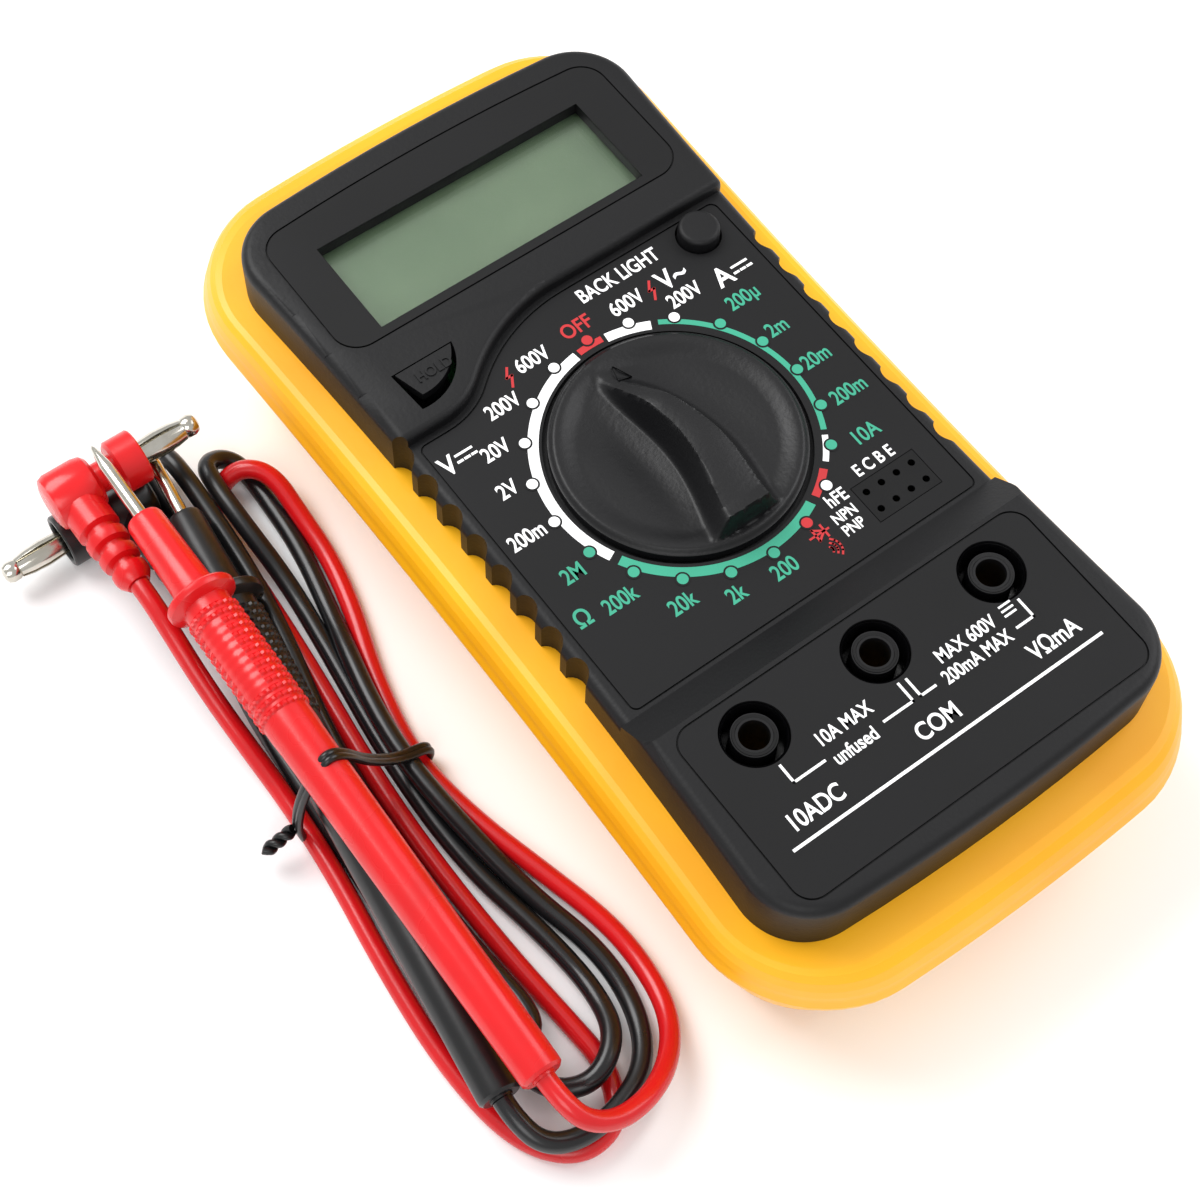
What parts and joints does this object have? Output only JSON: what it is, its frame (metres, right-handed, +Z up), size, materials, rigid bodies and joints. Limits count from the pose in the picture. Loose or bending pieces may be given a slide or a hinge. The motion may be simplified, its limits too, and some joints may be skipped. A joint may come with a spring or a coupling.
{
  "type": "digital multimeter",
  "caption": "Pocket digital multimeter in a rubber boot with a rotary range dial, three input jacks, two keys and a folded pair of test leads with probes and plugs.",
  "frame": {"origin": "bottom centre of the boot, on the table", "axes": "+X right, +Y towards the display end, +Z up out of the display, meter lying on its back"},
  "size_m": [0.1148, 0.146, 0.0373],
  "materials": {
    "boot_rubber": "smooth satin rubber",
    "case_black": "fine matte texture",
    "label_black": "printed satin film",
    "clear_window": "polished clear acrylic",
    "lcd_grey_green": "liquid crystal cell",
    "light_guide": "milky acrylic",
    "board_green": "solder resist over glass epoxy",
    "nickel": "nickel plate",
    "brass_plate": "bright brass",
    "spring_steel": "drawn steel",
    "key_black": "fine matte texture",
    "white_plastic": "moulded",
    "clear_glass": "clear glass tube",
    "resistor_blue": "lacquer",
    "battery_wrap": "printed steel wrap",
    "elastomer": "soft moulded strip",
    "probe_red": "satin moulded",
    "probe_black": "satin moulded",
    "lead_vinyl": "satin vinyl sleeve",
    "tie_black": "vinyl strip over wire"
  },
  "bodies": {
    "meter": {"protective_boot": "boot_rubber", "stand_pin": "spring_steel", "rear_case": "case_black", "front_case": "case_black", "display_label": "label_black", "range_label": "label_black", "jack_label": "label_black", "case_screws": "spring_steel", "board_screws": "spring_steel", "display_window": "clear_window", "lcd_glass": "lcd_grey_green", "backlight_panel": "light_guide", "backlight_leds": "white_plastic", "zebra_strip": "elastomer", "lcd_frame": "white_plastic", "circuit_board": "board_green", "transistor_socket": "key_black", "transistor_contacts": "brass_plate", "jack_sleeve_high_current": "nickel", "jack_sleeve_common": "nickel", "jack_sleeve_voltage": "nickel", "hold_switch": "key_black", "backlight_switch": "key_black", "main_chip": "key_black", "resistors": "resistor_blue", "capacitors": "key_black", "trimmer_pot": "white_plastic", "shunt_wire": "nickel", "fuse_tube": "clear_glass", "fuse_caps": "nickel", "fuse_clips": "nickel", "buzzer_disc": "brass_plate", "battery": "battery_wrap", "battery_snap": "elastomer", "battery_wires": "elastomer", "red_probe_handle": "probe_red", "red_probe_tip": "nickel", "black_probe_handle": "probe_black", "black_probe_tip": "nickel", "red_plug_body": "probe_red", "red_plug_pin": "nickel", "black_plug_body": "probe_black", "black_plug_pin": "nickel", "lead_hank": "lead_vinyl", "twist_tie": "tie_black"},
    "dial": {"dial_knob": "case_black", "contact_carrier": "white_plastic", "detent_balls": "spring_steel", "detent_springs": "spring_steel", "wiper_contacts": "brass_plate", "dial_screw": "spring_steel"},
    "hold": {"hold_key": "key_black"},
    "backlight": {"backlight_button": "key_black"},
    "stand": {"tilt_stand": "boot_rubber"}
  },
  "joints": [
    {"name": "range_dial", "type": "hinge", "parent": "meter", "child": "dial", "pos_m": [0, -0.0005, 0.0293], "axis": [0, 0, 1], "continuous": true},
    {"name": "hold_press", "type": "hinge", "parent": "meter", "child": "hold", "pos_m": [-0.0203, 0.0286, 0.0326], "axis": [1, 0, 0], "range_deg": [0, 4], "stiffness_Nm_per_rad": 0.5},
    {"name": "backlight_press", "type": "slide", "parent": "meter", "child": "backlight", "axis": [0, 0, -1], "range_m": [0, 0.0008], "stiffness_N_per_m": 400},
    {"name": "stand_swing", "type": "hinge", "parent": "meter", "child": "stand", "pos_m": [0, 0.043, 0.002], "axis": [1, 0, 0], "range_deg": [0, 65]}
  ]
}
